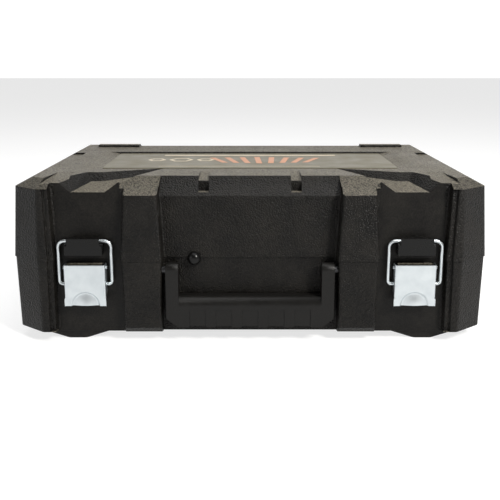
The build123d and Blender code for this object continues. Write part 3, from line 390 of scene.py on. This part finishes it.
def make_lever(side, material):
    node = "latch_lever_" + side
    low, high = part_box(node)
    middle, half, tall = (low.x + high.x) / 2, (high.x - low.x) / 2, high.z - low.z
    deepest = high.y - low.y
    rows, vertices, faces = 60, [], []
    for j in range(rows + 1):
        height = tall * j / rows
        depth = deepest * eased((height - CHEEK_START) / (CHEEK_FULL - CHEEK_START))
        for x, y in lever_section(half, depth):
            sunk = dish_depth(x, height) if y == 0 else 0.0
            vertices.append((middle + x, low.y + y + sunk, low.z + height))
    across = len(vertices) // (rows + 1)
    for j in range(rows):
        for i in range(across - 1):
            start = j * across + i
            faces.append((start, start + across, start + across + 1, start + 1))
    mesh = bpy.data.meshes.new("lever_" + side)
    mesh.from_pydata(vertices, [], faces)
    mesh.validate()
    for face in mesh.polygons:
        face.use_smooth = True
    piece = bpy.data.objects.new("lever_" + side, mesh)
    bpy.context.scene.collection.objects.link(piece)
    mesh.materials.append(material)
    solid = piece.modifiers.new("sheet", "SOLIDIFY")
    solid.thickness = SHEET
    solid.offset = -1
    bevel = piece.modifiers.new("edge", "BEVEL")
    bevel.width = 0.25 * MM
    bevel.segments = 2
    bevel.angle_limit = math.radians(50)
    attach(piece, "lever_" + side)
    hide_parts(node)


# ---- Print on the label -------------------------------------------------------------------------------
PRINT_RISE = 0.06 * MM


def flat_shapes(name, outlines, material):
    """Thin printed shapes, each a closed outline of points on the label."""
    mesh = bpy.data.meshes.new(name)
    vertices, faces = [], []
    top = LABEL_HIGH.z + PRINT_RISE
    for outline in outlines:
        start, count = len(vertices), len(outline)
        vertices += [(x, y, top) for x, y in outline]
        vertices += [(x, y, LABEL_HIGH.z - PRINT_RISE) for x, y in outline]
        faces.append(tuple(range(start, start + count)))
        faces.append(tuple(range(start + 2 * count - 1, start + count - 1, -1)))
        for i in range(count):
            j = (i + 1) % count
            faces.append((start + i, start + count + i, start + count + j, start + j))
    mesh.from_pydata(vertices, [], faces)
    mesh.materials.append(material)
    piece = bpy.data.objects.new(name, mesh)
    bpy.context.scene.collection.objects.link(piece)
    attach(piece, "lid")


def hexagon(x, y, radius):
    return [(x + radius * math.cos(math.radians(60 * i)), y + radius * math.sin(math.radians(60 * i)))
            for i in range(6)]


def hexagon_ring(x, y, radius, width):
    """A hexagon's border as six bars that meet at its corners."""
    outer, inner = hexagon(x, y, radius), hexagon(x, y, radius - width)
    return [[outer[i], outer[(i + 1) % 6], inner[(i + 1) % 6], inner[i]] for i in range(6)]


def slanted_bar(x, y, length, width, slant):
    half = length / 2
    return [(x - half, y - width / 2), (x + half, y - width / 2), (x + half + slant, y + width / 2),
            (x - half + slant, y + width / 2)]


def make_print():
    middle = (LABEL_LOW.y + LABEL_HIGH.y) / 2
    cream = smooth_plastic("print_cream", (0.50, 0.42, 0.30), (0.62, 0.54, 0.42), 0.4)
    salmon = smooth_plastic("print_salmon", (0.38, 0.17, 0.09), (0.50, 0.25, 0.15), 0.4)
    rings = []
    for i, size in enumerate((9, 12, 9)):
        rings += hexagon_ring((-92 + 24 * i) * MM, middle + 2 * MM, size * MM, 2.8 * MM)
    flat_shapes("print_hexagons", rings, cream)
    bars = []
    for i in range(8):
        tall, lean = (44 - 3.2 * abs(i - 3)) * MM, (4 * i - 14) * MM
        bars.append(slanted_bar((-24 + 11 * i) * MM, middle, 5.5 * MM, tall, lean))
    flat_shapes("print_bars", bars, salmon)
    rule = [slanted_bar(0, LABEL_HIGH.y - 16 * MM, 176 * MM, 5.0 * MM, 0),
            slanted_bar(-10 * MM, LABEL_LOW.y + 10 * MM, 150 * MM, 1.2 * MM, 0)]
    flat_shapes("print_rules", rule, cream)


make_camera()
make_floor()
make_studio()
MATERIALS = make_materials()
dress_frame(MATERIALS)
for latch in ("left", "right"):
    make_lever(latch, MATERIALS["zinc_plate"])
make_print()
